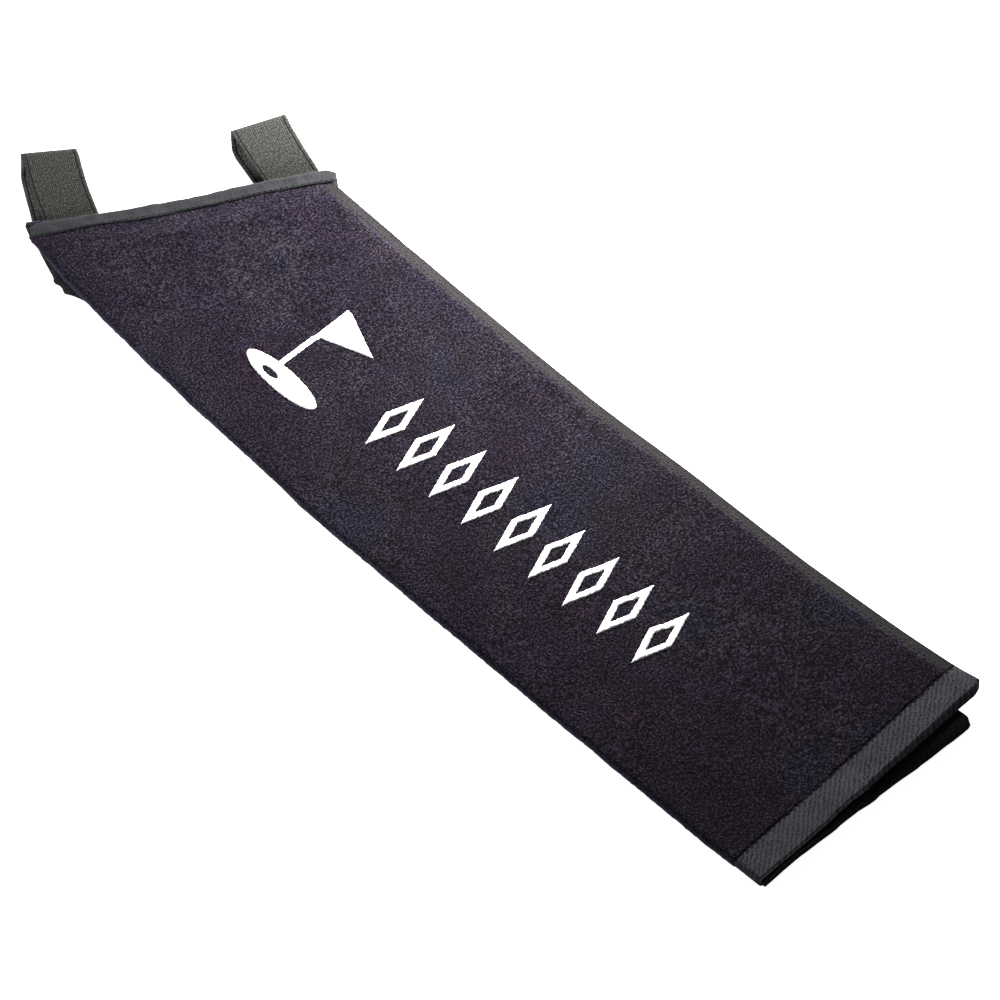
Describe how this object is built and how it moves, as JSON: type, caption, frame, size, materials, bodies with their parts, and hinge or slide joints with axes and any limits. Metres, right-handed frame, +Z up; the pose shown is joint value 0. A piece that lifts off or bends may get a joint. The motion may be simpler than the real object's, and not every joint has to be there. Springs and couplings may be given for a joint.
{
  "type": "golf towel",
  "caption": "Velour golf trolley towel folded in three lengthwise, with a slanted bound top edge and elastic hanging loops, lying flat.",
  "frame": {"origin": "the middle of the underside, on the surface that the towel lies on", "axes": "+Z up out of the top face; +Y along the towel from the hem to the loops; +X to the right side, seen with the loops at the top"},
  "size_m": [0.1845, 0.6936, 0.015],
  "materials": {
    "dark_velour": "cut-pile velour terry, very dark violet grey",
    "flat_hem": "flat diagonal weave, dark grey",
    "side_hem": "flat weave, brownish dark grey",
    "binding_tape": "fine twill tape, dark grey",
    "elastic": "woven elastic, olive grey with dark edge lines",
    "thread": "matt sewing thread, black",
    "white_pile": "white cut pile"
  },
  "bodies": {
    "towel": {"terry_cloth": "dark_velour", "bottom_hem": "flat_hem", "front_side_hem": "side_hem", "back_side_hem": "side_hem", "top_binding": "binding_tape", "left_loop_ends": "elastic", "right_loop_ends": "elastic", "binding_stitching": "thread", "hem_stitching": "thread", "side_hem_stitching": "thread", "woven_emblem": "white_pile", "woven_lozenges": "white_pile"},
    "left_loop": {"left_elastic_loop": "elastic"},
    "right_loop": {"right_elastic_loop": "elastic"}
  },
  "joints": [
    {"name": "left_loop_flex", "type": "hinge", "parent": "towel", "child": "left_loop", "pos_m": [-0.03854, 0.34565, 0.0013], "axis": [0.8257, -0.5641, 0], "range_deg": [0, 75]},
    {"name": "right_loop_flex", "type": "hinge", "parent": "towel", "child": "right_loop", "pos_m": [0.07398, 0.26877, 0.0013], "axis": [0.8257, -0.5641, 0], "range_deg": [0, 75]}
  ]
}
